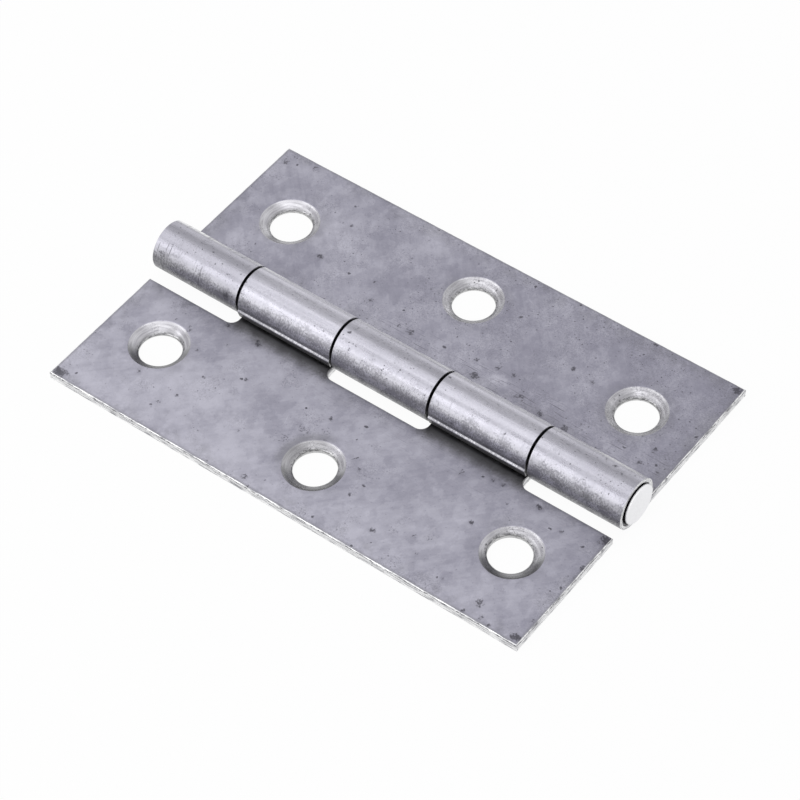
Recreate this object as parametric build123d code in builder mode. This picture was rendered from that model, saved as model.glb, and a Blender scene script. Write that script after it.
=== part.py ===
from build123d import *
from math import asin, atan2, degrees, hypot
import os

os.makedirs("parts", exist_ok=True)

# Butt hinge of plain rolled sheet steel, lying open and flat, screw heads' side up.
# Three pieces: a leaf with three knuckles, a leaf with two knuckles, and the pin they turn on.
# Each leaf is one blank of sheet. Its tabs are rolled under the pin, up the far side, over the
# top and down again until the cut end stops just short of the leaf they belong to.
# Frame: X along the pin, Y across the leaves, Z up. The backs of both leaves lie in Z = 0 and
# the pin's axis is straight above the origin. Millimetres.

# Leaves
hinge_length = 75.0          # along the pin, from end to end of the leaves
open_width = 50.0            # across both leaves, lying flat
sheet = 1.2                  # thickness of the steel sheet
arris_radius = 0.2           # rounding that the shear leaves on the long top edge

# Pin
pin_diameter = 4.5
running_clearance = 0.05     # radial, between the pin and the rolled knuckles
head_spread = 0.45           # radial, how far peening spreads each end of the pin
head_stands_out = 0.6        # how far a peened end stands out of its knuckle
head_dome = 0.12             # crown of the peened face
head_rim = 0.2               # rounding round the peened face
head_clearance = 0.15        # round the peened end, in the mouth of the end knuckle

# Knuckles
knuckle_length = 15.2        # the three inner knuckles; the end ones take what is left
knuckle_gap = 0.4            # side play between neighbouring knuckles
curl_tip = 0.9               # last straight stretch of the tab, which the rolling can't bend
curl_gap = 0.45              # between the tab's cut end and the face of its leaf
knuckle_spread = 0.25        # how far rolling pushes the end knuckles past the leaf's ends
notch_clearance = 1.2        # from the barrel's surface to the edge of a notch
notch_corner = 1.2           # radius in the corners of a notch

# Screw holes, three in a leaf, the middle one set further out
screw_hole_diameter = 5.8
countersink_diameter = 8.3
countersink_angle = 120.0
end_hole_spacing = 56.6      # between the two end holes, along the pin
end_hole_offset = 13.7       # from the pin's axis to the end holes
middle_hole_offset = 17.0    # from the pin's axis to the middle hole

# Sizes that follow
half_length = hinge_length / 2
half_width = open_width / 2
pin_radius = pin_diameter / 2
bore_radius = pin_radius + running_clearance
barrel_radius = bore_radius + sheet
knuckle_pitch = knuckle_length + knuckle_gap
window_length = knuckle_length + 2 * knuckle_gap
end_window_length = half_length - 1.5 * knuckle_pitch + knuckle_gap / 2
end_window_centre = half_length - end_window_length / 2
notch_edge = barrel_radius + notch_clearance
barrel_end = half_length + knuckle_spread
head_radius = pin_radius + head_spread
mouth_radius = head_radius + head_clearance
mouth_flare = mouth_radius - bore_radius
head_face = barrel_end + head_stands_out
head_crown_radius = (head_radius**2 + head_dome**2) / (2 * head_dome)

# The roll stops where the straight tip after it ends the curl's gap above the leaf's face
tip_lean = degrees(atan2(curl_tip, barrel_radius))
past_level = degrees(asin((bore_radius - curl_gap) / hypot(barrel_radius, curl_tip))) - tip_lean
curl_sweep = 270 + past_level

pin_axis = Axis((0, 0, barrel_radius), (1, 0, 0))
pin_plane = Plane((0, 0, barrel_radius), x_dir=(1, 0, 0), z_dir=(0, -1, 0))


def rolled_section(side):
    """Section of one leaf across the pin; side is +1 for the leaf towards +Y, -1 for the other."""
    centre = (0, barrel_radius)
    with BuildSketch(Plane.YZ) as section:
        with BuildLine():
            back = Line((side * half_width, 0), (0, 0))
            outside = CenterArc(centre, barrel_radius, -90, -side * curl_sweep)
            outside_tip = Line(outside @ 1, outside @ 1 + outside % 1 * curl_tip)
            inside = CenterArc(centre, bore_radius, -90, -side * curl_sweep)
            inside_tip = Line(inside @ 1, inside @ 1 + inside % 1 * curl_tip)
            Line(outside_tip @ 1, inside_tip @ 1)
            face = Line(inside @ 0, (side * half_width, sheet))
            Line(face @ 1, back @ 0)
        make_face()
    return section.sketch


def notch(centre, length, side):
    """Plan of the opening for a knuckle of the other leaf, round in its inner corners."""
    depth = barrel_radius + notch_edge
    with BuildSketch() as opening:
        with Locations((centre, side * (notch_edge - depth / 2))):
            Rectangle(length, depth)
        inner = opening.vertices().group_by(Axis.Y)[-1 if side > 0 else 0]
        within_leaf = inner.filter_by(lambda corner: abs(corner.X) < half_length - notch_corner)
        fillet(within_leaf, radius=notch_corner)
    return opening.sketch


def screw_holes(side):
    """The three countersunk screw holes of one leaf, sunk from its upper face."""
    places = [
        (-end_hole_spacing / 2, side * end_hole_offset, sheet),
        (0, side * middle_hole_offset, sheet),
        (end_hole_spacing / 2, side * end_hole_offset, sheet),
    ]
    with Locations(*places):
        CounterSinkHole(
            radius=screw_hole_diameter / 2,
            counter_sink_radius=countersink_diameter / 2,
            depth=sheet,
            counter_sink_angle=countersink_angle,
        )


def round_long_edge(leaf, side):
    """The shear's rounding along the outer top edge of a leaf."""
    outer = leaf.edges().filter_by(Axis.X).group_by(Axis.Y)[-1 if side > 0 else 0]
    fillet(outer.sort_by(Axis.Z)[-1], radius=arris_radius)


# Leaf with the two end knuckles and the middle one; it holds the peened pin
with BuildPart() as three_knuckle_leaf:
    extrude(rolled_section(1), amount=barrel_end, both=True)
    # The flat of the leaf is narrower than its rolled end knuckles, and tapers out to them
    with BuildSketch():
        with BuildLine():
            Polyline(
                (barrel_end, 0),
                (half_length, barrel_radius),
                (half_length, half_width),
                (barrel_end, half_width),
                close=True,
            )
        make_face()
        mirror(about=Plane.YZ)
    extrude(amount=sheet, mode=Mode.SUBTRACT)
    for place in (-knuckle_pitch, knuckle_pitch):
        extrude(notch(place, window_length, 1), amount=2 * barrel_radius, mode=Mode.SUBTRACT)
    screw_holes(1)
    round_long_edge(three_knuckle_leaf, 1)
    # Mouths of the end knuckles, flared at 45 degrees for the peened ends of the pin
    with BuildSketch(pin_plane):
        with BuildLine():
            Polyline(
                (barrel_end - mouth_flare, 0),
                (barrel_end - mouth_flare, bore_radius),
                (barrel_end, mouth_radius),
                (barrel_end, 0),
                close=True,
            )
        make_face()
        mirror(about=Plane.YZ)
    revolve(axis=pin_axis, mode=Mode.SUBTRACT)
three_knuckle_leaf.part.label = "three_knuckle_leaf"
export_step(three_knuckle_leaf.part, "parts/three_knuckle_leaf.step")

# Leaf with the two knuckles between them; it turns on the pin
with BuildPart() as two_knuckle_leaf:
    extrude(rolled_section(-1), amount=half_length, both=True)
    extrude(notch(0, window_length, -1), amount=2 * barrel_radius, mode=Mode.SUBTRACT)
    for place in (-end_window_centre, end_window_centre):
        extrude(notch(place, end_window_length, -1), amount=2 * barrel_radius, mode=Mode.SUBTRACT)
    screw_holes(-1)
    round_long_edge(two_knuckle_leaf, -1)
two_knuckle_leaf.part.label = "two_knuckle_leaf"
export_step(two_knuckle_leaf.part, "parts/two_knuckle_leaf.step")

# Pin, turned about its own axis, with both ends peened into the flared mouths
with BuildPart() as pin:
    with BuildSketch(pin_plane):
        with BuildLine():
            Polyline(
                (head_face, 0),
                (0, 0),
                (0, pin_radius),
                (barrel_end - head_spread, pin_radius),
                (barrel_end, head_radius),
                (head_face - head_dome, head_radius),
            )
            RadiusArc((head_face - head_dome, head_radius), (head_face, 0), head_crown_radius)
        half_profile = make_face()
        rim = half_profile.vertices().group_by(Axis.X)[-2].sort_by(Axis.Z)[-1]
        fillet(rim, radius=head_rim)
        mirror(about=Plane.YZ)
    revolve(axis=pin_axis)
pin.part.label = "pin"
export_step(pin.part, "parts/pin.step")
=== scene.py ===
# %% [markdown]
# # A steel butt hinge, lying open
# The hinge is three pieces: a leaf with three knuckles, a leaf with two, and the pin between them.
# Its solids were drawn in another program and come in as the frame, in metres, with X along the
# pin and Z up. The frame says how big everything is and where it turns. This script makes the
# pieces again with what the solids leave out: sheared edges, tool marks, pits and worn steel.

# %% Open the frame
import bmesh
import bpy
import numpy as np
from functools import partialmethod
from math import asin, atan2, cos, degrees, hypot, pi, radians, sin, tan
from mathutils import Matrix, Vector


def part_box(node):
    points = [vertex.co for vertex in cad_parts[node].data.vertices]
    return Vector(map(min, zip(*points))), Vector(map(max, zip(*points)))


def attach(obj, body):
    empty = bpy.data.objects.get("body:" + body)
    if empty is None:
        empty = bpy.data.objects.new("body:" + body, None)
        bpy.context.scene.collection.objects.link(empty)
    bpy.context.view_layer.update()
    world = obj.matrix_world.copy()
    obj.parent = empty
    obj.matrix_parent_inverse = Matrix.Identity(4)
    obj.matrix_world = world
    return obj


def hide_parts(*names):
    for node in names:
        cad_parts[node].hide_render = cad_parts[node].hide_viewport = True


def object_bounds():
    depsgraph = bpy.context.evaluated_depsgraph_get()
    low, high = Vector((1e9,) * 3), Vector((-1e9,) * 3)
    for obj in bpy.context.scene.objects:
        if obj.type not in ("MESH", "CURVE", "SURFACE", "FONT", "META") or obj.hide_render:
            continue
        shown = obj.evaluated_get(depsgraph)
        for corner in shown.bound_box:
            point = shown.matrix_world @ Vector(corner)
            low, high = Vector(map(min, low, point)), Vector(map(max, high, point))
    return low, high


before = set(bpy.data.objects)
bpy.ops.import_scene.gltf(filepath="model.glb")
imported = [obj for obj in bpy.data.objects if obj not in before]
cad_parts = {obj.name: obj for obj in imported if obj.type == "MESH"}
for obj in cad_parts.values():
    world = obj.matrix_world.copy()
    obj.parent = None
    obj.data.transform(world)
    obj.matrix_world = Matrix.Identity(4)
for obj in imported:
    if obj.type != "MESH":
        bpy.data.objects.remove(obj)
solid_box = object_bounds()
print("the solids are", sorted(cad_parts))
print("solids span", [round(1000 * (high - low), 2) for low, high in zip(*solid_box)], "mm")

# %% [markdown]
# ## The camera
# The camera goes in first, because every later choice is judged through it. It looks down on the
# open hinge from the front right, from far off with a long lens, so that parallel edges stay nearly
# parallel. Its place is worked out from two angles, a roll and a distance, which is easier to
# adjust than a matrix.

# %% Camera
turn, rise, roll_of_camera = radians(39.689), radians(49.676), radians(-3.107)
distance, shift_right, shift_up = 0.43085, 0.00056, -0.00173

back = Vector((sin(turn) * cos(rise), -cos(turn) * cos(rise), sin(rise)))
level_right = Vector((0, 0, 1)).cross(back).normalized()
level_up = back.cross(level_right)
right = level_right * cos(roll_of_camera) + level_up * sin(roll_of_camera)
up = level_up * cos(roll_of_camera) - level_right * sin(roll_of_camera)

camera = bpy.data.objects.new("camera", bpy.data.cameras.new("camera"))
camera.data.lens = 149.94
camera.data.clip_start, camera.data.clip_end = 0.01, 20
camera.matrix_world = Matrix.Translation(back * distance + right * shift_right + up * shift_up) @ (
    Matrix((right, up, back)).transposed().to_4x4()
)
bpy.context.scene.collection.objects.link(camera)
bpy.context.scene.camera = camera
bpy.context.scene.view_settings.view_transform = "Standard"
print("camera stands", [round(1000 * c) for c in camera.location], "mm from the middle of the pin")

# %% [markdown]
# ## A few helpers for node trees
# Both the shapes and the finishes below are node trees. Written node by node, even a short formula
# takes a page. With `put` a node and its wires take one line, `result` does the same and hands on
# the node's first output, and `Quantity` lets the numbers that run through a tree be added and
# multiplied as in a sum on paper. Each operation still makes one ordinary Math node, which can be
# opened and looked at in the editor.

# %% Nodes and numbers
def put(tree, kind, wires=(), **settings):
    """Adds a node of one kind, sets it up and feeds its inputs with values or other nodes' outputs."""
    made = tree.nodes.new(kind)
    for name, value in settings.items():
        setattr(made, name, value)
    for place, value in dict(wires).items():
        value = getattr(value, "socket", value)
        if isinstance(value, bpy.types.NodeSocket):
            tree.links.new(value, made.inputs[place])
        else:
            made.inputs[place].default_value = value
    return made


def result(tree, kind, wires=(), **settings):
    """Adds a node for the sake of its first output, and gives that."""
    return put(tree, kind, wires, **settings).outputs[0]


class Quantity:
    """A number on its way through a node tree."""

    def __init__(self, tree, socket):
        self.tree, self.socket = tree, socket

    def do(self, operation, *others):
        """One Math node, with this number on its first input."""
        wires = enumerate((self, *others))
        return Quantity(self.tree, result(self.tree, "ShaderNodeMath", wires, operation=operation))

    __add__, __sub__ = partialmethod(do, "ADD"), partialmethod(do, "SUBTRACT")
    __mul__, __truediv__ = partialmethod(do, "MULTIPLY"), partialmethod(do, "DIVIDE")
    __neg__ = partialmethod(do, "MULTIPLY", -1.0)
    above, below = partialmethod(do, "MAXIMUM"), partialmethod(do, "MINIMUM")
    sine, cosine = partialmethod(do, "SINE"), partialmethod(do, "COSINE")
    root, unsigned = partialmethod(do, "SQRT"), partialmethod(do, "ABSOLUTE")

    def fade(self, low, high):
        """Goes smoothly from 0 at low to 1 at high; low may be the larger."""
        wires = {"Value": self, "From Min": low, "From Max": high}
        faded = result(self.tree, "ShaderNodeMapRange", wires, interpolation_type="SMOOTHSTEP")
        return Quantity(self.tree, faded)


def split(tree, vector):
    parts = put(tree, "ShaderNodeSeparateXYZ", {0: vector}).outputs
    return [Quantity(tree, part) for part in parts]


def joined(tree, x, y, z):
    return result(tree, "ShaderNodeCombineXYZ", {0: x, 1: y, 2: z})


def noise(tree, vector, scale, detail=2.0, rough=0.5):
    wires = {"Vector": vector, "Scale": scale, "Detail": detail, "Roughness": rough}
    return Quantity(tree, put(tree, "ShaderNodeTexNoise", wires).outputs["Fac"])


print("numbers can be added, multiplied and faded")


# %% Trees that make shapes
def new_shape_tree(name, **sizes):
    """An empty Geometry Nodes tree with one named input for each size, and its input node."""
    tree = bpy.data.node_groups.new(name, "GeometryNodeTree")

    def socket(label, kind, side="INPUT"):
        return tree.interface.new_socket(label, in_out=side, socket_type="NodeSocket" + kind)

    socket("Geometry", "Geometry")
    socket("Geometry", "Geometry", "OUTPUT")
    socket("Material", "Material")
    for label, value in sizes.items():
        kind = {float: "Float", int: "Int"}.get(type(value), "Object")
        made = socket(label.replace("_", " ").capitalize(), kind)
        if value is not None:
            made.default_value = value
    return tree, put(tree, "NodeGroupInput").outputs


def run_tree(tree, start, name, **sizes):
    """Runs a tree on an object, which is used up, and returns the result as a plain mesh object."""
    modifier = start.modifiers.new(tree.name, "NODES")
    modifier.node_group = tree
    for item in tree.interface.items_tree:
        label = item.name.lower().replace(" ", "_")
        if item.in_out == "INPUT" and label in sizes:
            modifier[item.identifier] = sizes[label]
    seen = bpy.context.evaluated_depsgraph_get()
    evaluated = start.evaluated_get(seen)
    mesh = bpy.data.meshes.new_from_object(evaluated, preserve_all_data_layers=True, depsgraph=seen)
    start.modifiers.remove(modifier)
    bpy.data.objects.remove(start)
    made = bpy.data.objects.new(name, mesh)
    bpy.context.scene.collection.objects.link(made)
    print(name, "has", len(mesh.polygons), "faces")
    return made


def finish_tree(tree, shape, given):
    """Every tree ends in the same way: real faces and a material on them."""
    shape = result(tree, "GeometryNodeRealizeInstances", {0: shape})
    shape = result(tree, "GeometryNodeSetMaterial", {0: shape, "Material": given["Material"]})
    put(tree, "NodeGroupOutput", {0: shape})


def remember(tree, shape, name, value, domain="POINT", kind="FLOAT"):
    """Writes a value down on the shape, under a name."""
    wires = {"Geometry": shape, "Name": name, "Value": value}
    return result(tree, "GeometryNodeStoreNamedAttribute", wires, data_type=kind, domain=domain)


def recall(tree, name, kind="FLOAT"):
    return result(tree, "GeometryNodeInputNamedAttribute", {"Name": name}, data_type=kind)


def compare(tree, first, operation, second):
    return result(tree, "FunctionNodeCompare", {0: first, 1: second}, operation=operation)


leaf_steel = bpy.data.materials.new("leaf_steel")
pin_steel = bpy.data.materials.new("pin_steel")
print("trees can be built and run, and two steels wait for their finish")

# %% [markdown]
# ## The blank
# A press makes each leaf from flat sheet: it shears the outline, punches the screw holes and cuts
# out the notches that the other leaf's knuckles turn in. The flat piece is called the blank, and
# it is the best place to start here too, because holes and notches are simple in the flat. They
# could be cut with Boolean modifiers, but those leave long thin faces, which crease when the sheet
# is bent. So the blank is drawn as a net of small four-sided cells, in millimetres: x runs along
# the pin, and s across the leaf, from the cut ends of the tabs that will be rolled, below zero, to
# the leaf's outer edge. Round each hole the cells turn into rings, so that its edge is a clean
# circle. The frame's boxes give the lengths and the barrel, and the smaller sizes are the ones
# that the solids were drawn to.

# %% Sizes of the sheet and the roll
MM = 0.001
HEAD_FACE, HALF_WIDTH, barrel_top = (round(1000 * high, 2) for high in solid_box[1])
HALF_LENGTH = round(1000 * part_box("two_knuckle_leaf")[1][0], 2)
BARREL_END = round(1000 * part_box("three_knuckle_leaf")[1][0], 2)
BARREL = barrel_top / 2
SHEET = 1.2
BORE = BARREL - SHEET
CURL_TIP, CURL_GAP = 0.9, 0.45
MOUTH_FLARE = 0.55

tip_lean = atan2(CURL_TIP, BARREL)
SWEEP = radians(270) + asin((BORE - CURL_GAP) / hypot(BARREL, CURL_TIP)) - tip_lean
ROLLED = BARREL * SWEEP
print("each tab is rolled through", round(degrees(SWEEP)), "degrees, or", round(ROLLED, 2), "mm of it")

# %% Sizes of the notches and holes
KNUCKLE, SIDE_PLAY = 15.2, 0.4
NOTCH_CLEARANCE, NOTCH_CORNER = 1.2, 1.2
NOTCH_EDGE = BARREL + NOTCH_CLEARANCE
HOLE, SINK, SINK_ANGLE = 2.9, 4.15, 120

# Notches and knuckles are measured along the pin from the middle of the hinge.
pitch = KNUCKLE + SIDE_PLAY
half_window = KNUCKLE / 2 + SIDE_PLAY
notch_three = (pitch - half_window, pitch + half_window)
knuckle_two = (half_window, pitch + KNUCKLE / 2)

# Each screw hole: its x and s, and half the side of the square of cells that it takes up.
hole_squares = [(-28.3, 13.7, 5.1), (0.0, 17.0, 4.8), (28.3, 13.7, 5.1)]
print("one leaf is notched from", notch_three, "mm, the other has knuckles from", knuckle_two, "mm")


# %% Lines of the net
# About how big a cell is, and how close a second line lies to an edge to keep it crisp.
CELL = 0.3
SUPPORT = 0.12


def net_lines(fixed):
    """Lines through every fixed place, and evenly between them about a cell apart."""
    places = []
    for low, high in zip(fixed, fixed[1:]):
        places.extend(np.linspace(low, high, max(1, round((high - low) / CELL)), endpoint=False))
    return np.array([*places, fixed[-1]])


def mirrored(places):
    return sorted({round(way * place, 6) for place in places for way in (-1, 1)})


cut_end = -ROLLED - CURL_TIP
lip_lines = [-ROLLED + step for step in (0.35, 0.45, 0.55, 0.65)]
lines_across = [cut_end, cut_end + SUPPORT, -ROLLED, *lip_lines, 0.0]
lines_across += [NOTCH_EDGE, NOTCH_EDGE + SUPPORT, HALF_WIDTH - SUPPORT, HALF_WIDTH]
print(len(net_lines(lines_across)), "lines across the leaf")


# %% Rings round the holes
# From just outside the countersink, down its cone, to the wall of the punched hole.
CONE_END = HOLE + 0.2
ring_radii = [SINK + step for step in (0.12, 0.05, 0, -0.05, -0.2, -0.45, -0.75)]
ring_radii += [CONE_END, HOLE + 0.07, HOLE]


def hole_rings(net, x_lines, s_lines, vertex, hole):
    """Fills the square left open round a hole with rings that go from the square to the circle."""
    x, s, half, punched, sunk = hole
    first, last = (int(abs(x_lines - (x + step)).argmin()) for step in (-half, half))
    low, high = (int(abs(s_lines - (s + step)).argmin()) for step in (-half, half))
    square = [(i, low) for i in range(first, last)] + [(last, j) for j in range(low, high)]
    square += [(i, high) for i in range(last, first, -1)] + [(first, j) for j in range(high, low, -1)]
    outer = [vertex(i, j) for i, j in square]
    corners = [np.array(v.co[:2]) - (x, s) for v in outer]
    spokes = [c / np.linalg.norm(c) for c in corners]
    shares = np.clip((SINK - np.array(ring_radii)) / (SINK - CONE_END), 0, 1)[:, None]
    centres = (1 - shares) * sunk + shares * punched
    rings = [[centre + radius * spoke for spoke in spokes] for centre, radius in zip(centres, ring_radii)]
    rings.insert(0, [(c + place) / 2 for c, place in zip(corners, rings[0])])
    for ring in rings:
        inner = [net.verts.new((x + place[0], s + place[1], 0)) for place in ring]
        for k in range(len(outer)):
            following = (k + 1) % len(outer)
            net.faces.new((outer[k], outer[following], inner[following], inner[k]))
        outer = inner


print(len(ring_radii) + 1, "rings round a hole")


# %% [markdown]
# The notch tool has rounded corners, so that the sheet doesn't crack there. Instead of cutting
# smaller cells, the corner of the net is pushed out onto the arc, and the cells behind it follow
# by less and less. The end knuckles come out of the rolling a little longer than the flat, so
# their cells are stretched outwards too.

# %% Shape the net
CORNER_REACH = 2 * NOTCH_CORNER
SPREAD_RUN = 1.3


def round_corner(places, corner, away):
    """Moves the net's edge at a notch's square corner onto its arc.

    The corner is a place of x and s, and away is +1 where the notch lies towards +x.
    """
    past = (places[:, 0] - corner[0]) * away
    deep = np.round(corner[1] - places[:, 1], 6)
    down_the_side = deep > 0
    turned = np.where(down_the_side, 1 - deep / NOTCH_CORNER, 1 + past / NOTCH_CORNER) * radians(45)
    turned = np.clip(turned, 0, radians(90))
    near = (np.clip(deep, 0, None) <= NOTCH_CORNER) & (np.clip(past, 0, None) <= NOTCH_CORNER)
    near &= (past <= 1e-6) | (deep <= 1e-6)
    reach_x = NOTCH_CORNER * (1 - np.cos(turned)) - np.where(down_the_side, 0, np.clip(past, 0, None))
    reach_s = NOTCH_CORNER * (1 - np.sin(turned)) - np.where(down_the_side, deep, 0)
    fall_x, fall_s = (np.clip(1 + np.minimum(far, 0) / CORNER_REACH, 0, 1) ** 2 for far in (past, deep))
    places[:, 0] += np.where(near, reach_x * fall_x * fall_s * away, 0)
    places[:, 1] -= np.where(near, reach_s * fall_x * fall_s, 0)


def spread_knuckle_ends(places):
    """Stretches the ends of the end knuckles past the flat of the leaf."""
    x, s = places[:, 0], places[:, 1]
    round_pin = np.clip((BARREL - s) / BARREL, 0, 1)
    near_end = np.clip((abs(x) - HALF_LENGTH + SPREAD_RUN) / SPREAD_RUN, 0, 1)
    places[:, 0] += np.sign(x) * round_pin * near_end * (BARREL_END - HALF_LENGTH)


print("a corner is rounded to", NOTCH_CORNER, "mm")


# %% Cut the blank
def cut_blank(name, lines_along, cut_away, holes, round_corners, spread_ends):
    """The flat blank of one leaf as a mesh object."""
    net = bmesh.new()
    square_sides = [s + step for _, s, half, *_ in holes for step in (-half, half)]
    x_lines = net_lines(mirrored(lines_along))
    s_lines = net_lines(sorted({*lines_across, *square_sides}))
    made = {}

    def vertex(i, j):
        if (i, j) not in made:
            made[i, j] = net.verts.new((x_lines[i], s_lines[j], 0))
        return made[i, j]

    def left_open(x, s):
        in_square = (max(abs(x - hole_x), abs(s - hole_s)) < half for hole_x, hole_s, half, *_ in holes)
        return cut_away(x, s) or any(in_square)

    for i, x in enumerate((x_lines[1:] + x_lines[:-1]) / 2):
        for j, s in enumerate((s_lines[1:] + s_lines[:-1]) / 2):
            if not left_open(x, s):
                net.faces.new((vertex(i, j), vertex(i + 1, j), vertex(i + 1, j + 1), vertex(i, j + 1)))
    for hole in holes:
        hole_rings(net, x_lines, s_lines, vertex, hole)
    places = np.array([v.co for v in net.verts])
    for corner, away in round_corners:
        round_corner(places, corner, away)
    if spread_ends:
        spread_knuckle_ends(places)
    for v, place in zip(net.verts, places):
        v.co = place
    mesh = bpy.data.meshes.new(name)
    net.to_mesh(mesh)
    net.free()
    print(name, "is cut into", len(mesh.polygons), "cells")
    blank = bpy.data.objects.new(name, mesh)
    bpy.context.scene.collection.objects.link(blank)
    return blank


# %% [markdown]
# ## From blank to leaf
# A tree of Geometry Nodes does what the press does next, in the same order. It thickens the net
# into sheet, a few layers at a time, so that the cut edge can have its own section: pulled down
# where the punch pressed, straight and bright below that, then a rough break. It sinks the screw
# holes. Last it rolls the tabs: a point that lies past the bend goes round the pin by its distance
# from the bend, and a point higher in the sheet goes round on a smaller circle. The rule is the
# same for every tab, so the holes, notches and marks of the flat blank all arrive in the right
# place on the round knuckle. A Simple Deform modifier can bend a sheet too, but a tree can also
# write down where each point was in the blank, how far it is from a cut, and how far round the
# pin, and the steel's finish reads that later.

# %% Thicken the sheet
# Section of a sheared edge: height in the sheet from back to face, and how far it is pulled in.
EDGE_SECTION = [(0, 0.12), (0.04, 0.0), (0.12, 0.06), (0.32, 0.1), (0.55, 0.02), (0.78, 0.04)]
EDGE_SECTION += [(0.9, 0.2), (0.96, 0.5), (1, 1)]


def measure_from_cut(tree, net, flat):
    """Writes down how far each point of the blank is from its cut outline."""
    faces_beside = result(tree, "GeometryNodeInputMeshEdgeNeighbors")
    on_outline = {0: net, 1: compare(tree, faces_beside, "LESS_THAN", 1.5)}
    outline = result(tree, "GeometryNodeSeparateGeometry", on_outline, domain="EDGE")
    wires = {0: outline, "Sample Position": flat}
    reach = put(tree, "GeometryNodeProximity", wires, target_element="EDGES").outputs["Distance"]
    return remember(tree, net, "from_cut", reach)


def thicken(tree, net):
    """Stacks the sheet up in the section's layers, from the back at 0 to the face at 1."""
    back_side = result(tree, "GeometryNodeFlipFaces", {0: net})
    stack, top = net, True
    for (low, _), (high, _) in zip(EDGE_SECTION, EDGE_SECTION[1:]):
        step = joined(tree, 0.0, 0.0, high - low)
        wires = {"Mesh": stack, "Selection": top, "Offset": step, "Individual": False}
        layer = put(tree, "GeometryNodeExtrudeMesh", wires).outputs
        stack, top = layer["Mesh"], layer["Top"]
    both = put(tree, "GeometryNodeJoinGeometry")
    for side in (back_side, stack):
        tree.links.new(side, both.inputs[0])
    return result(tree, "GeometryNodeMergeByDistance", {0: both.outputs[0], "Distance": 0.002})


def describe_sheet(tree, shape, x, s, up_in_sheet):
    """Writes down each point's place in the blank, which faces are cut, and which way is outward."""
    blank = joined(tree, x, s, up_in_sheet)
    shape = remember(tree, shape, "blank", blank, kind="FLOAT_VECTOR")
    facing_x, facing_s, facing_up = split(tree, result(tree, "GeometryNodeInputNormal"))
    shape = remember(tree, shape, "cut_edge", facing_up.unsigned().fade(0.6, 0.5), domain="FACE")
    level_facing = {0: joined(tree, facing_x, facing_s, 0.0)}
    outward = result(tree, "ShaderNodeVectorMath", level_facing, operation="NORMALIZE")
    return remember(tree, shape, "outward", outward, kind="FLOAT_VECTOR")


print(len(EDGE_SECTION) - 1, "layers in the sheet")


# %% Sink the holes and flare the mouths
CONE_SLOPE = tan(radians(90 - SINK_ANGLE / 2))
CONE_ROUNDING = 0.04


def nearest(tree, marked, flat):
    """All the loose points of an object, how far the nearest one is, and its place."""
    points = put(tree, "GeometryNodeObjectInfo", {"Object": marked}).outputs["Geometry"]
    wires = {0: points, "Sample Position": flat}
    found = put(tree, "GeometryNodeProximity", wires, target_element="POINTS").outputs
    return points, Quantity(tree, found["Distance"]), split(tree, found["Position"])


def sink_holes(tree, shape, size, x, s, flat):
    """Writes down the way to the holes, and gives the distance and the depth of the cones."""
    _, from_hole, _ = nearest(tree, size["Holes"], flat)
    _, from_sink, (sink_x, sink_s, _) = nearest(tree, size["Sinks"], flat)
    way_x, way_y = (x - sink_x) / from_sink, (s - sink_s) * size["Towards"] / from_sink
    shape = remember(tree, shape, "way_from_sink", joined(tree, way_x, way_y, 0.0), kind="FLOAT_VECTOR")
    shape = remember(tree, shape, "from_hole", from_hole)
    shape = remember(tree, shape, "from_sink", from_sink)
    cone = (size["Sink radius"] - from_sink) * CONE_SLOPE
    depth = (cone + (cone * cone + CONE_ROUNDING**2).root()) * 0.5
    return shape, from_hole, depth


def thickness_left(size, x, s, depth):
    """The sheet's thickness under the cones and in the flared mouths of the end knuckles."""
    flare = size["Bore radius"] + (x.unsigned() - size["Mouth start"]).above(0.0)
    off_centre = (-s - size["Rolled length"]).above(s).above(0.0)
    mouth = size["Barrel radius"] - (flare * flare - off_centre * off_centre).above(0.0).root()
    return (size["Sheet"] - depth).below(mouth)


print("the cones slope at", round(degrees(atan2(CONE_SLOPE, 1))), "degrees")


# %% Wear the faces and shear the edges
EDGE_DEPTH, WEAR_DEPTH = 0.16, 0.035


def wear_faces(tree, shape, size, x, s, flat):
    """Writes down the marks, and gives how far waves, dents and pits take the faces down."""
    points, from_mark, _ = nearest(tree, size["Marks"], flat)
    which = result(tree, "GeometryNodeSampleNearest", {0: points, 1: flat})

    def of_mark(name):
        wires = {0: points, 1: recall(tree, name), 2: which}
        return Quantity(tree, result(tree, "GeometryNodeSampleIndex", wires))

    ragged = from_mark + (noise(tree, flat, 1.4, 3.0) - 0.5) * of_mark("spread") * 2.4
    mark = (-ragged / of_mark("spread")).fade(-1.5, 0.0) * of_mark("strength")
    shape = remember(tree, shape, "mark", mark)
    seeded = joined(tree, x, s, size["Seed"])
    waves = noise(tree, seeded, 0.16, 2.0) * 0.7 + noise(tree, seeded, 0.9, 3.0) * 0.3
    return shape, (waves + mark.above(0.0) * 1.2) * size["Wear depth"]


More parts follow.
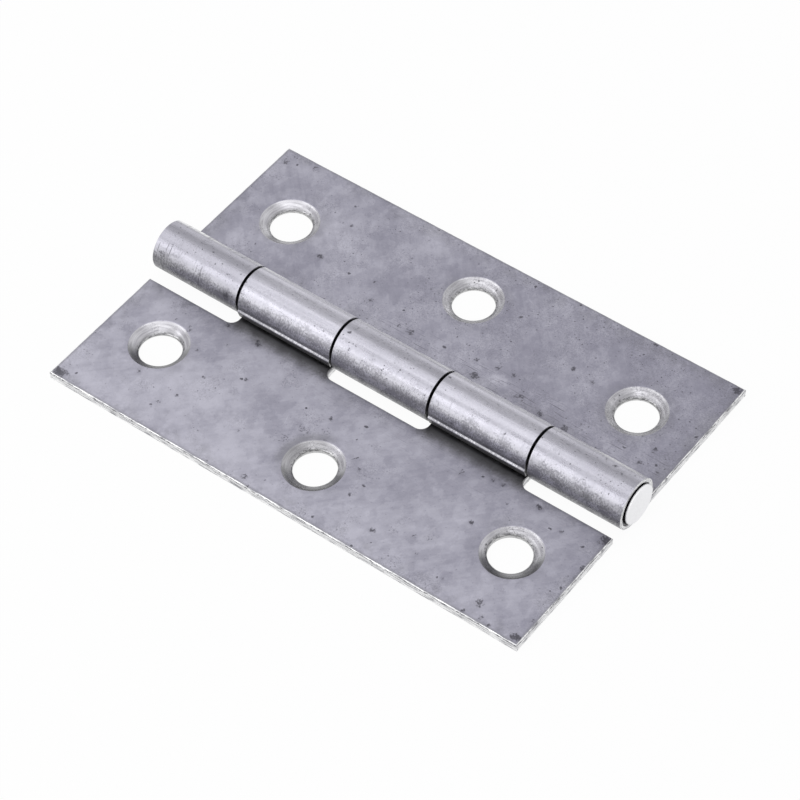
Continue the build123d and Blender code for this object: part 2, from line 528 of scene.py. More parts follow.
def shear_edges(tree, size, here, from_hole):
    """Where a point lies along and across the blank once its cut edge has its section."""
    x, s, level = split(tree, here)
    section = put(tree, "ShaderNodeFloatCurve", {1: level})
    curve = section.mapping.curves[0]
    curve.points[0].location, curve.points[-1].location = EDGE_SECTION[0], EDGE_SECTION[-1]
    for place in EDGE_SECTION[1:-1]:
        curve.points.new(*place)
    section.mapping.update()
    pulled = Quantity(tree, section.outputs[0]) * size["Edge depth"]
    torn = noise(tree, here, 2.3, 4.0, 0.7)
    pulled = pulled + torn * level.fade(0.7, 0.3) * level.fade(0.0, 0.2) * 0.08
    gentler_in_holes = from_hole.fade(HOLE - 0.05, HOLE + 0.6).do("MULTIPLY_ADD", 0.75, 0.25)
    on_edge = Quantity(tree, recall(tree, "cut_edge")).fade(0.01, 0.02)
    pulled = pulled * on_edge * gentler_in_holes
    out_x, out_s, _ = split(tree, recall(tree, "outward", "FLOAT_VECTOR"))
    return x - out_x * pulled, s - out_s * pulled


print("the shear pulls the edge of the face in by", EDGE_DEPTH, "mm")


# %% Roll the tabs
CRISP = radians(40)


def roll_tabs(tree, shape, size, x, worn, height):
    """Sets every point in its place, in metres, with the tabs rolled round the pin."""
    worn_x, worn_s = worn
    past_roll = -worn_s - size["Rolled length"]
    whole_turn = size["Rolled length"] / size["Barrel radius"]
    angle = (-worn_s / size["Barrel radius"]).above(0.0).below(whole_turn)
    tip = past_roll.above(0.0)

    # The roll leaves its knuckles full low on the front, and turns the tabs' ends out in a lip
    fuller = angle.fade(0.0, 0.96) * angle.fade(2.1, 0.96) * x.fade(-22.0, -6.0) * size["Bulge"]
    lip = past_roll.fade(-0.62, -0.38) * size["Lip"]
    ring = size["Barrel radius"] - height + lip + fuller

    y = worn_s.above(0.0) - ring * angle.sine() - tip * angle.cosine()
    z = size["Barrel radius"] - ring * angle.cosine() + tip * angle.sine()
    shape = remember(tree, shape, "round_the_pin", angle)
    metres = joined(tree, *(part * MM for part in (worn_x, y * size["Towards"], z)))
    return result(tree, "GeometryNodeSetPosition", {0: shape, "Position": metres})


def measure_from_tip(tree, shape, size):
    """Writes down how far each point is from the cut end of a tab, where the crease takes painted shade
    and some old oil.
    """
    across = split(tree, recall(tree, "blank", "FLOAT_VECTOR"))[1]
    at_tip = compare(tree, -across - size["Rolled length"], "GREATER_THAN", 0.4)
    tips = result(tree, "GeometryNodeSeparateGeometry", {0: shape, 1: at_tip}, domain="FACE")
    wires = {0: tips, "Sample Position": result(tree, "GeometryNodeInputPosition")}
    away = put(tree, "GeometryNodeProximity", wires, target_element="FACES").outputs["Distance"]
    return remember(tree, shape, "from_tip", Quantity(tree, away) * 1000.0)


def shade(tree, shape):
    """Smooth, but crisp where two faces meet at a sharper bend."""
    shape = result(tree, "GeometryNodeSetShadeSmooth", {0: shape})
    bend = result(tree, "GeometryNodeInputMeshEdgeAngle")
    wires = {0: shape, 1: compare(tree, bend, "GREATER_THAN", CRISP), 2: False}
    return result(tree, "GeometryNodeSetShadeSmooth", wires, domain="EDGE")


print("an edge sharper than", round(degrees(CRISP)), "degrees stays crisp")


# %% The whole tree
def leaf_tree():
    tree, given = new_shape_tree(
        "press_a_leaf", sheet=SHEET, barrel_radius=BARREL, bore_radius=BORE, rolled_length=ROLLED,
        towards=1.0, sink_radius=SINK, mouth_start=BARREL_END - MOUTH_FLARE,
        edge_depth=EDGE_DEPTH, wear_depth=WEAR_DEPTH, lip=0.25, bulge=0.0, tone=0.0, seed=3.0,
        holes=None, sinks=None, marks=None)
    size = {item.name: Quantity(tree, item) for item in given}
    here = result(tree, "GeometryNodeInputPosition")
    x, s, level = split(tree, here)
    flat = joined(tree, x, s, 0.0)

    shape = measure_from_cut(tree, given["Geometry"], flat)
    shape = thicken(tree, shape)
    shape = describe_sheet(tree, shape, x, s, level * size["Sheet"])
    shape, from_hole, depth = sink_holes(tree, shape, size, x, s, flat)
    shape, worn_down = wear_faces(tree, shape, size, x, s, flat)
    height = level * thickness_left(size, x, s, depth) + (-level + 0.5) * worn_down * 2.0
    shape = roll_tabs(tree, shape, size, x, shear_edges(tree, size, here, from_hole), height)
    shape = measure_from_tip(tree, shape, size)
    shape = remember(tree, shape, "tone", size["Tone"])
    inside_out = compare(tree, size["Towards"], "LESS_THAN", 0.0)
    shape = result(tree, "GeometryNodeFlipFaces", {0: shape, 1: inside_out})
    finish_tree(tree, shade(tree, shape), given)
    return tree


press_a_leaf = leaf_tree()
print("the leaf's tree has", len(press_a_leaf.nodes), "nodes")


# %% [markdown]
# ## Two leaves
# Both leaves go through the same tree. They differ in their blanks: one keeps three tabs, the end
# ones spread a little by the rolling, and the other keeps two. The marks are the larger pits,
# dents and stains, as a row each: place along and across the blank, spread in millimetres, and
# strength, where a number below zero is a patch rubbed bright. Cheap hinges are punched quickly,
# so each hole and each countersink misses its place by its own few tenths of a millimetre.

# %% Marks of handling
marks_two = [
    (-15.9, 11.0, 0.4, 1.0), (-2.8, 9.8, 0.4, 1.0), (-20.6, 14.0, 0.3, 0.8), (3.8, 13.2, 0.4, 1.0),
    (5.3, 14.4, 0.4, 1.0), (21.8, 12.9, 0.4, 1.0), (27.2, 6.0, 0.5, 1.0), (16.0, 7.3, 0.6, 0.7),
    (12.5, 21.2, 0.5, 0.9), (24.2, 22.0, 0.4, 0.7), (30.0, 22.3, 0.8, 0.8), (31.4, 24.0, 0.5, 0.9),
    (36.6, 24.0, 0.8, 1.0), (37.0, 20.7, 0.5, 0.6), (-5.8, 23.8, 0.6, 0.9), (-36.4, 24.1, 1.3, 1.0),
    (-18.5, 5.3, 0.7, 0.9), (19.0, 17.8, 1.0, 0.5), (-5.7, 16.0, 1.2, 0.5), (37.2, 10.7, 0.5, 0.9),
    (37.2, 12.4, 0.4, 0.8), (31.8, 7.6, 0.4, 0.8), (-27.4, 8.5, 0.7, 0.6), (-21.5, 7.7, 0.4, 0.8),
    (-23.6, 5.1, 0.4, 0.9), (-28.1, 18.2, 0.5, 0.6), (-22.7, 20.6, 0.5, 0.6), (-4.5, 24.8, 0.3, 1.0),
    (7.3, 16.2, 0.25, 1.0), (17.4, 18.8, 0.4, 0.8), (19.1, 20.8, 0.5, 0.6), (29.1, 24.5, 0.3, 1.0),
    (32.8, 24.4, 0.4, 0.9), (21.6, 5.8, 0.4, 0.9), (20.0, 5.8, 0.4, 0.8), (37.0, 5.4, 1.2, 0.9),
    (-4.4, 13.2, 1.1, 0.6), (-2.0, 11.9, 0.8, 0.5), (-24.1, 10.8, 0.6, 0.6), (-17.2, 17.2, 2.4, -0.7),
    (11.9, -13.4, 0.2, 1.0), (14.9, -11.1, 0.25, 0.8), (16.4, -13.0, 0.25, 0.7), (19.2, -13.4, 0.2, 1.0)]
marks_three = [
    (-21.5, 11.5, 0.7, 1.0), (-12.8, 12.1, 0.3, 0.9), (7.8, 6.6, 0.8, 1.0), (8.0, 12.3, 0.3, 0.8),
    (17.5, 15.1, 0.5, 0.9), (20.8, 14.5, 0.5, 0.7), (23.8, 24.5, 0.4, 1.0), (24.5, 22.2, 0.9, 0.5),
    (31.5, 23.4, 1.4, 0.4), (-32.0, 24.0, 0.9, 0.6), (-36.2, 23.0, 1.0, 0.6), (-18.5, 22.2, 1.6, 0.3),
    (10.8, 7.8, 1.3, -1.0), (14.6, 7.2, 0.9, 0.7), (18.2, 6.4, 0.7, 0.8), (6.4, 9.2, 0.7, 0.6),
    (36.7, 24.4, 0.8, 1.0), (36.0, 7.0, 0.5, 0.9), (9.5, 9.4, 0.6, 0.6), (22.3, 6.0, 0.9, 1.0),
    (33.6, 9.9, 0.6, 0.8), (33.3, 7.2, 0.5, 0.8), (-11.2, 9.2, 0.5, 0.8), (-3.6, 7.9, 0.7, 0.8),
    (-5.5, 7.8, 0.5, 0.7), (12.0, 9.7, 0.8, 0.6), (31.7, 13.5, 0.5, 0.6), (-29.9, -7.3, 0.3, 0.9),
    (-25.0, -6.3, 1.0, 1.0), (-36.2, -7.1, 0.8, 0.8), (-5.4, -8.2, 0.25, 0.9), (-4.8, -8.0, 0.25, 0.9),
    (-1.8, -8.6, 0.5, 0.5), (6.5, -9.8, 0.2, 1.0), (32.3, -12.4, 0.3, 0.8), (33.7, -12.1, 0.4, 1.0),
    (35.1, -11.5, 0.3, 0.9)]


def spots(name, rows, *columns):
    """A mesh of loose points at rows of x and s, with one named number for each further column."""
    mesh = bpy.data.meshes.new(name)
    mesh.from_pydata([(x, s, 0) for x, s, *_ in rows], [], [])
    for place, column in enumerate(columns, 2):
        values = mesh.attributes.new(column, "FLOAT", "POINT")
        values.data.foreach_set("value", [float(row[place]) for row in rows])
    made = bpy.data.objects.new(name, mesh)
    bpy.context.scene.collection.objects.link(made)
    return made


print(len(marks_two) + len(marks_three), "marks")


# %% How a leaf is pressed
def press(name, lines_along, cut_away, misses, corners, marks, towards, **sizes):
    """Cuts a blank and rolls it; misses holds, for each hole, how far punch and countersink are off."""
    holes = [(*square, *map(np.array, miss)) for square, miss in zip(hole_squares, misses)]
    square_sides = [x + step for x, _, half in hole_squares for step in (-half, half)]
    lines_along = [0, *square_sides, *lines_along]
    spread_ends = towards > 0
    blank = cut_blank(name + "_blank", lines_along, cut_away, holes, corners, spread_ends)
    punched = spots(name + "_holes", [(x + miss[0], s + miss[1]) for x, s, _, miss, _ in holes])
    sunk = spots(name + "_sinks", [(x + miss[0], s + miss[1]) for x, s, _, _, miss in holes])
    marked = spots(name + "_marks", marks, "spread", "strength")
    made = run_tree(press_a_leaf, blank, name, material=leaf_steel, towards=towards, holes=punched,
                    sinks=sunk, marks=marked, seed=3.0 + 4 * towards, **sizes)
    for used in (punched, sunk, marked):
        bpy.data.objects.remove(used)
    return made


def both_ways(*corners):
    """Corners of the notches, each with its mirror image: x, and the side that the notch lies on."""
    return [((x * way, NOTCH_EDGE), away * way) for x, away in corners for way in (-1, 1)]


print("each leaf gets", len(hole_squares), "screw holes")

# %% Press both leaves
near_end = HALF_LENGTH - SUPPORT
mouth_lines = [BARREL_END - MOUTH_FLARE - step for step in (0.3, 0.15, 0)]
inner, outer = notch_three
three_knuckles = press(
    "three_knuckle_leaf_steel",
    lines_along=[inner - SUPPORT, inner, outer, outer + SUPPORT, *mouth_lines, near_end, HALF_LENGTH],
    cut_away=lambda x, s: s < NOTCH_EDGE and notch_three[0] < abs(x) < notch_three[1],
    misses=[((-0.18, 0.42), (-0.38, 0.42)), ((0.0, -0.03), (-0.13, 0.13)), ((0.0, 0.1), (-0.06, 0.24))],
    corners=both_ways((inner, 1), (outer, -1)), marks=marks_three, towards=1.0, bulge=0.28, tone=-0.13)
inner, outer = knuckle_two
two_knuckles = press(
    "two_knuckle_leaf_steel",
    lines_along=[inner, inner + SUPPORT, outer - SUPPORT, near_end, HALF_LENGTH],
    cut_away=lambda x, s: s < NOTCH_EDGE and not knuckle_two[0] < abs(x) < knuckle_two[1],
    misses=[((-0.28, -0.46), (-0.6, -0.68)), ((0.2, 0.06), (0.15, 0.24)), ((0.0, 0.0), (0.36, 0.1))],
    corners=both_ways((inner, -1), (outer, 1)), marks=marks_two, towards=-1.0, mouth_start=99.0)

# %% [markdown]
# ## The pin
# The pin is a length of drawn wire. After it is pushed through, both ends are hammered until they
# spread into the flared mouths of the end knuckles, which is called peening. Its shape follows a
# line: at each place along it there is one radius. A Screw modifier could turn it, but a tree can
# go on from there. It sweeps a circle along a line whose points carry that radius, and then works
# the ends over as a hammer does, with shallow flats that overlap, and a rim that isn't quite round.

# %% Tree that turns and peens the pin
PIN, HEAD = 2.25, 2.7
DOME, RIM = 0.12, 0.2
OFF_CENTRE_Y, OFF_CENTRE_Z = 0.07, -0.09


def sweep_circle(tree, given, size):
    """A round bar along the line, as thick at each place as the line says."""
    line = result(tree, "GeometryNodeMeshToCurve", {0: given["Geometry"]})
    line = result(tree, "GeometryNodeSetCurveRadius", {0: line, "Radius": recall(tree, "radius")})
    wires = {"Resolution": size["Around"], "Radius": 1.0}
    circle = result(tree, "GeometryNodeCurvePrimitiveCircle", wires)
    wires = {0: line, "Profile Curve": circle, "Scale": recall(tree, "radius"), "Fill Caps": True}
    return result(tree, "GeometryNodeCurveToMesh", wires)


def pin_tree():
    tree, given = new_shape_tree(
        "peen_a_pin", around=128, blow_size=0.9, blow_depth=0.05, mushroom=0.055, seed=5.0)
    size = {item.name: Quantity(tree, item) for item in given}
    shape = sweep_circle(tree, given, size)
    here = result(tree, "GeometryNodeInputPosition")
    x, y, z = split(tree, here)
    from_axis = (y * y + z * z).root()

    # Blows of the hammer on the end faces
    at_end = x.unsigned().fade(BARREL_END - 0.3, HEAD_FACE - 0.3)
    seeded = joined(tree, x.do("SIGN") * size["Seed"], y, z)
    wires = {"Vector": seeded, "Scale": size["Blow size"].do("POWER", -1.0), "Smoothness": 0.0}
    cells = put(tree, "ShaderNodeTexVoronoi", wires, feature="SMOOTH_F1")
    blows = Quantity(tree, cells.outputs["Distance"])
    face = from_axis.fade(HEAD, HEAD - 0.4) * at_end
    sunk_in = (blows * 0.8 + noise(tree, seeded, 2.5, 4.0) * 0.5) * size["Blow depth"] * face

    # The head is mushroomed, not quite round, and a little off the middle
    swell = noise(tree, seeded, 0.55, 2.0) * 0.07 + noise(tree, here, 3.0, 3.0) * 0.02
    share = ((swell * at_end * from_axis.fade(1.0, HEAD)) / from_axis.above(0.1)) * -1.0 + 1.0
    share = share + x.unsigned().fade(BARREL_END, BARREL_END + 0.12) * size["Mushroom"]
    off = x.unsigned().fade(BARREL_END - 2.0, BARREL_END)
    peened_y, peened_z = y * share + off * OFF_CENTRE_Y, z * share + off * OFF_CENTRE_Z + BARREL
    peened = (x - x.do("SIGN") * sunk_in, peened_y, peened_z)
    wires = {0: shape, "Position": joined(tree, *(part * MM for part in peened))}
    shape = result(tree, "GeometryNodeSetPosition", wires)
    shape = result(tree, "GeometryNodeSetShadeSmooth", {0: shape})
    finish_tree(tree, shape, given)
    return tree


peen_a_pin = pin_tree()
print("the pin's tree has", len(peen_a_pin.nodes), "nodes")


# %% Turn and peen the pin
def pin_places():
    """Half the pin as rows of x and radius, from the middle out to the peak of the peened face."""
    spread = HEAD - PIN
    rows = [(x, PIN) for x in np.linspace(0, BARREL_END - spread, 24)]
    rows += [(BARREL_END - spread + step, PIN + step) for step in (0.1, 0.2, 0.3, 0.4, spread)]
    rows += [(BARREL_END + step, HEAD) for step in (0.08, 0.16, 0.24)]
    rim_start = HEAD_FACE - DOME - RIM
    bends = np.linspace(0, radians(80), 6)
    rows += [(rim_start + RIM * sin(bend), HEAD - RIM + RIM * cos(bend)) for bend in bends]
    radii = np.linspace(HEAD - RIM, 0.02, 26)[1:]
    rows += [(HEAD_FACE - DOME * (radius / HEAD) ** 2, radius) for radius in radii]
    return rows


half = pin_places()
places = [(-x, radius) for x, radius in reversed(half[1:])] + half
mesh = bpy.data.meshes.new("pin_line")
mesh.from_pydata([(x, 0, 0) for x, _ in places], [(k, k + 1) for k in range(len(places) - 1)], [])
radii = mesh.attributes.new("radius", "FLOAT", "POINT")
radii.data.foreach_set("value", [radius for _, radius in places])
pin_line = bpy.data.objects.new("pin_line", mesh)
bpy.context.scene.collection.objects.link(pin_line)
pin = run_tree(peen_a_pin, pin_line, "peened_pin", material=pin_steel)

# %% [markdown]
# ## Bare steel
# The sheet was rolled, pickled and left bare. It is dull rather than bright, a cool grey with pale
# clouds, and it carries small dark pits, scuffs and the grey of old oil, more of it along the
# edges. A picture of steel could be laid over the leaves, but it would blur close up and stretch
# round the barrel. Patterns made by nodes do neither. They are read from where a point was
# in the blank, and so they go round the knuckles with the sheet. A finish is built up as the
# steel's history went: first the tone of the rolled sheet, then dirt and pits, then what the tools
# cut bright. Some of the colour is painted light and shade: a painted highlight high on the back
# of the barrel, a painted lift low on it, and painted shade on the end knuckle at -x, in the
# creases, under the barrel, on one side of the countersinks, in the gaps and in the bore.

# %% Helpers for finishes
BUMP = 0.02 * MM


def attribute(tree, name):
    made = put(tree, "ShaderNodeAttribute", attribute_name=name, attribute_type="GEOMETRY")
    return Quantity(tree, made.outputs["Fac"])


def vector_attribute(tree, name):
    return put(tree, "ShaderNodeAttribute", attribute_name=name).outputs["Vector"]


def blend(tree, share, low, high):
    return put(tree, "ShaderNodeMix", {0: share, 6: low, 7: high}, data_type="RGBA").outputs[2]


def empty_finish(material):
    material.use_nodes = True
    material.node_tree.nodes.clear()
    return material.node_tree


def end_steel(tree, colour, roughness, height):
    """Bare metal, with a colour, a dullness and small bumps."""
    bumps = result(tree, "ShaderNodeBump", {"Height": height, "Strength": 1.0, "Distance": BUMP})
    wires = {"Base Color": colour, "Metallic": 1.0, "Roughness": roughness, "Normal": bumps}
    shader = result(tree, "ShaderNodeBsdfPrincipled", wires)
    put(tree, "ShaderNodeOutputMaterial", {0: shader})


def millimetres(tree):
    """Where a point of the finished object is, in millimetres."""
    place = put(tree, "ShaderNodeTexCoord").outputs["Object"]
    return result(tree, "ShaderNodeMapping", {"Vector": place, "Scale": (1000, 1000, 1000)})


def specks(tree, place, per_mm, share, size):
    """Dark dots: a dot in some of the cells of a random tiling, each with its own size."""
    cells = put(tree, "ShaderNodeTexVoronoi", {"Vector": place, "Scale": per_mm}, feature="F1").outputs
    drawn = put(tree, "ShaderNodeSeparateColor", {0: cells["Color"]}).outputs
    pick, grow = Quantity(tree, drawn[0]), Quantity(tree, drawn[1])
    reach = Quantity(tree, cells["Distance"]) + (noise(tree, place, per_mm * 3, 3.0) - 0.5) * 0.5
    dot = (reach / (grow * grow * size + size * 0.4)).fade(1.0, 0.5)
    return dot * (pick - share).fade(0.02, -0.02)


print("ready to finish", len(bpy.data.materials), "materials")


# %% What the finish knows of a point on a leaf
class LeafPoint:
    """What the press wrote down at a point, and the patterns that several steps share."""

    def __init__(self, tree):
        self.tree = tree
        self.blank = vector_attribute(tree, "blank")
        self.x, self.s, self.high = split(tree, self.blank)
        for name in ("from_cut", "cut_edge", "mark", "round_the_pin", "from_hole", "from_tip",
                     "from_sink", "tone"):
            setattr(self, name, attribute(tree, name))
        self.way_x, self.way_y, _ = split(tree, vector_attribute(tree, "way_from_sink"))
        _, self.y, self.z = split(tree, millimetres(tree))

        # Which part of the leaf the point is on
        self.rolled = self.round_the_pin.fade(0.0, 0.6)
        self.flat = -self.rolled + 1.0
        self.facing_down = self.round_the_pin.cosine()
        self.low = self.facing_down.fade(-0.86, -0.3) * self.rolled
        self.sunk = self.from_sink.fade(SINK + 0.03, SINK - 0.06) * self.high.fade(0.02, 0.1)

        # Patterns of the steel: mottling, grain, slanted scuffs and the marks of the rolling die
        self.mottle = self.pattern(0.6, 5.0, 0.6)
        self.grain = self.pattern(3.6, 5.0, 0.62)
        slanted = joined(tree, (self.x - self.s) * 0.16, (self.x + self.s) * 1.1, 0.0)
        self.scuffs = noise(tree, slanted, 1.0, 4.0, 0.65)
        self.die_marks = self.drawn_out(0.035, 1.2, 4.0, 3.0, 0.6)

        # Where dirt gathers
        self.ragged = (self.mottle - 0.5) * 2.4 + (self.grain - 0.5) * 2.4
        self.near_edge = self.from_cut.fade(3.0, 0.1)
        self.dirtier = -self.tone * (self.x * 0.025 + self.s.fade(11.0, 5.0) * 0.8 + 0.9)
        self.crowd = (self.pattern(0.23, 3.0) + self.near_edge * 0.1 + self.dirtier).fade(0.52, 0.7)

    def pattern(self, per_mm, detail, rough=0.5):
        """Noise in the blank, with about so many features to a millimetre."""
        return noise(self.tree, self.blank, per_mm, detail, rough)

    def drawn_out(self, along, across, seed, detail, rough):
        """Noise with its own scale along the pin and across the leaf."""
        place = joined(self.tree, self.x * along, self.s * across, seed)
        return noise(self.tree, place, 1.0, detail, rough)

    def scratches(self, turned, seed, share):
        """Fine lines that all run one way, broken up along their length."""
        along = self.x * cos(turned) + self.s * sin(turned)
        across = self.s * cos(turned) - self.x * sin(turned)
        lines = noise(self.tree, joined(self.tree, along * 0.22, across * 5.0, seed), 1.0, 2.0, 0.5)
        return lines.fade(share, share + 0.07)


at = LeafPoint(empty_finish(leaf_steel))
print("the leaves' finish starts with", len(at.tree.nodes), "nodes")


# %% Tone of the rolled sheet
def steel_colour(at):
    """Cloudy steel: large soft tones, mottling, grain and scuffs, paler where it was rolled, and painted
    light and shade on the barrel.
    """
    tree, x, s, rolled, flat = at.tree, at.x, at.s, at.rolled, at.flat
    clouds = at.pattern(0.11, 2.0)
    flakes = at.drawn_out(0.5, 0.36, 9.0, 4.0, 0.55).fade(0.47, 0.54)
    light = (clouds - 0.5) * 1.0 + (at.mottle - 0.5) * 0.5 + (flakes - 0.5) * 0.11
    light = light + (at.scuffs - 0.5) * 0.36
    light = light + (at.grain - 0.5) * (at.near_edge * 0.35 + at.dirtier * 0.9 + 0.15)
    light = light * (flat * 0.5 + 0.5)
    light = light + (at.grain - 0.5) * rolled * 0.7 + (at.die_marks - 0.5) * rolled * 1.2
    # Painted light: lighter low on the barrel, where it lies in shade; rubbed patches are paler, and the
    # leaf darker towards +x.
    light = light + at.low * 0.22 - at.mark.below(0.0) * 0.4 - x * 0.0022 + at.tone
    # Painted shade on the end knuckle at -x, where the lamps light it more, with some real dirt there.
    light = light - x.fade(-22.0, -26.0) * rolled * 0.32
    light = light + s.fade(12.0, 24.0) * (at.tone * 8.0 + 1.0) * 0.12
    light = light + at.scratches(1.3, 11.0, 0.7).above(at.scratches(-0.35, 12.0, 0.72)) * flat * 0.2
    colour = blend(tree, light.fade(-0.5, 0.5), (0.25, 0.245, 0.3, 1), (0.456, 0.449, 0.517, 1))
    colour = blend(tree, rolled * 0.4, colour, (0.45, 0.445, 0.472, 1))
    # Painted light: a more neutral grey low on the barrel, part of its painted lift.
    colour = blend(tree, at.low * 0.35, colour, (0.42, 0.42, 0.425, 1))
    # Painted highlight: near white high on the back of the barrel.
    painted_back_highlight = at.y.fade(1.7, 2.4) * at.z.fade(3.5, 4.5) * rolled
    return blend(tree, painted_back_highlight * 0.8, colour, (0.95, 0.95, 0.96, 1))


sheet_colour = steel_colour(at)
print("with the sheet's tone it has", len(at.tree.nodes))


# %% Colour of the countersinks
def cone_colour(at):
    """Rings from the cutter, with small pits, and painted shade on one side."""
    tree, way_x, way_y = at.tree, at.way_x, at.way_y
    rings = noise(tree, joined(tree, at.from_sink * 3.4, way_x * 1.2, way_y * 1.2), 1.0, 2.0, 0.5)
    cone = blend(tree, rings.fade(0.3, 0.7), (0.36, 0.353, 0.38, 1), (0.575, 0.57, 0.6, 1))
    # Painted shade: the side of each cone turned from the light is darkened, more towards the rim and
    # less on the leaf with three knuckles.
    painted_shade_side = (way_x * 0.5 - way_y * 0.87).fade(-0.15, 0.35) * (at.tone * 5.0 + 1.0)
    painted_shade_side = painted_shade_side * (at.from_sink.fade(3.1, 3.8) * 0.4 + 0.6)
    cone = blend(tree, painted_shade_side, cone, (0.25, 0.25, 0.256, 1))
    pits = at.pattern(3.4, 5.0, 0.7) - at.from_hole.fade(HOLE + 0.5, HOLE + 0.25) * 0.12
    return blend(tree, pits.fade(0.33, 0.27), cone, (0.12, 0.12, 0.125, 1))


sunk_colour = cone_colour(at)
print("with the countersinks it has", len(at.tree.nodes))


# %% Dark marks
def knuckle_marks(at):
    """Hoops and grit round the knuckles, and just behind the top of the barrel a faint painted dark
    reflection band with the dirt specks of a seam along it.
    """
    hoops = at.drawn_out(3.0, 0.1, 8.0, 3.0, 0.6).fade(0.6, 0.63) * at.rolled
    hoops = hoops * at.facing_down.fade(-0.92, -0.75) * (at.x.fade(-24.0, -28.0) * 0.7 + 0.15)
    grit = at.drawn_out(4.2, 2.6, 0.0, 4.0, 0.75) + at.low * 0.13
    grit = (grit + (at.pattern(0.45, 3.0) - 0.5) * 0.5).fade(0.6, 0.65) * at.rolled
    # Painted reflection: a faint dark band just behind the top of the barrel; the seam's dirt specks lie
    # along it.
    top_band = (at.y - 0.4 + (at.mottle - 0.5) * 1.2).unsigned().fade(0.5, 0.1)
    top_band = top_band * at.z.fade(5.0, 6.0) * at.rolled
    seam = top_band * at.drawn_out(1.2, 6.0, 3.0, 4.0, 0.7).fade(0.52, 0.62)
    return hoops.above(grit * (at.low * 0.35 + 0.2)).above(top_band * 0.1 + seam * 0.5)


def dark_marks(at):
    """How dark each point is with pits, stains, squiggles and scratches."""
    s, mark = at.s, at.mark
    fine = specks(at.tree, at.blank, 2.2, 0.6, 0.24)
    coarse = specks(at.tree, at.blank, 0.6, 0.25, 0.15)
    stain = (mark.above(0.0) + (at.grain - 0.5) * 2.4).fade(0.35, 0.85) * mark.fade(0.05, 0.4)
    stain = stain + mark.above(0.0) * 0.25
    worms = (at.pattern(1.7, 6.0, 0.68) - 0.5).unsigned().fade(0.035, 0.0) * at.crowd * at.flat
    lines = at.scratches(0.1, 1.0, 0.7).above(at.scratches(0.9, 2.0, 0.74))
    lines = lines.above(at.scratches(-0.7, 3.0, 0.74)) * at.crowd
    lengthwise = at.scratches(0.0, 6.0, 0.6) * s.fade(5.0, 6.0) * s.fade(10.5, 8.0)
    lengthwise = lengthwise * at.x.fade(-14.0, -2.0) * (at.tone.fade(-0.03, -0.1) * 0.5 + 0.15)
    dark = (fine * (at.crowd * 0.65 + 0.18)).above(coarse * 0.9).above(stain * 0.78)
    dark = dark.above(worms * 0.38).above(lines * 0.22).above(lengthwise * at.flat)
    return dark.above(knuckle_marks(at))


dark = dark_marks(at)
print("with the dark marks it has", len(at.tree.nodes))


# %% Old oil and painted shade
def oil_and_painted_shade(at):
    """Grey grease in smudges and along the edges, and painted shade with some old oil in the crease at
    the tabs' cut ends and low under the barrel, and on one side just outside the middle countersink of
    the leaf with two knuckles.
    """
    # Painted shade in the crease at the tabs' cut ends, with some old oil.
    crease = (at.from_tip + at.ragged * 0.5).fade(3.0, 0.7)
    # Painted shade low under the barrel, with some old oil.
    under = (at.facing_down + at.ragged * 0.14).fade(-0.42, -0.18) * at.rolled * 0.5
    # Painted shade on one side just outside the middle countersink of the leaf with two knuckles.
    halo = (at.from_sink + at.ragged * 0.3).fade(SINK + 1.7, SINK + 0.4)
    halo = halo * (at.way_y * 0.45 - at.way_x * 0.89).fade(0.3, 0.85)
    halo = halo * at.x.unsigned().fade(9.0, 7.0) * at.y.fade(-8.0, -9.0)
    smudge = (at.pattern(0.35, 5.0, 0.65) + at.dirtier * 0.5).fade(0.46, 0.66)
    smudge = smudge * at.from_cut.fade(3.5, 0.0)
    along_edge = at.from_cut.fade(0.6, 0.2) * 0.4
    return crease.above(under).above(halo * 0.5).above((smudge * 0.32).above(along_edge) * at.flat)


oil_and_shade = oil_and_painted_shade(at)
print("with old oil it has", len(at.tree.nodes))


# %% Cut steel
def cut_colour(at, torn):
    """Sheared edges, bright with a torn band under the arris, and the duller walls of the holes."""
    tree, high = at.tree, at.high
    streaks = noise(tree, joined(tree, at.x * 0.4, at.s * 0.4, high * 6.0), 1.0, 3.0, 0.6)
    sheared = blend(tree, streaks.fade(0.38, 0.56), (0.34, 0.34, 0.36, 1), (0.95, 0.95, 0.95, 1))
    under_arris = high.fade(0.9, 1.0) * high.fade(1.14, 1.08)
    sheared = blend(tree, (torn - under_arris * 0.12).fade(0.42, 0.34), sheared, (0.14, 0.14, 0.15, 1))
    clean = (torn - high.fade(0.5, 0.9) * 0.12).fade(0.34, 0.46)
    wall = blend(tree, clean, (0.1, 0.1, 0.105, 1), (0.6, 0.6, 0.6, 1))
    return blend(tree, at.from_hole.fade(HOLE + 0.5, HOLE + 0.3), sheared, wall)


torn = noise(at.tree, joined(at.tree, at.x * 1.6, at.s * 1.6, at.high * 5.0), 1.0, 5.0, 0.7)
bright_cut = cut_colour(at, torn)
print("with its cut edges it has", len(at.tree.nodes))


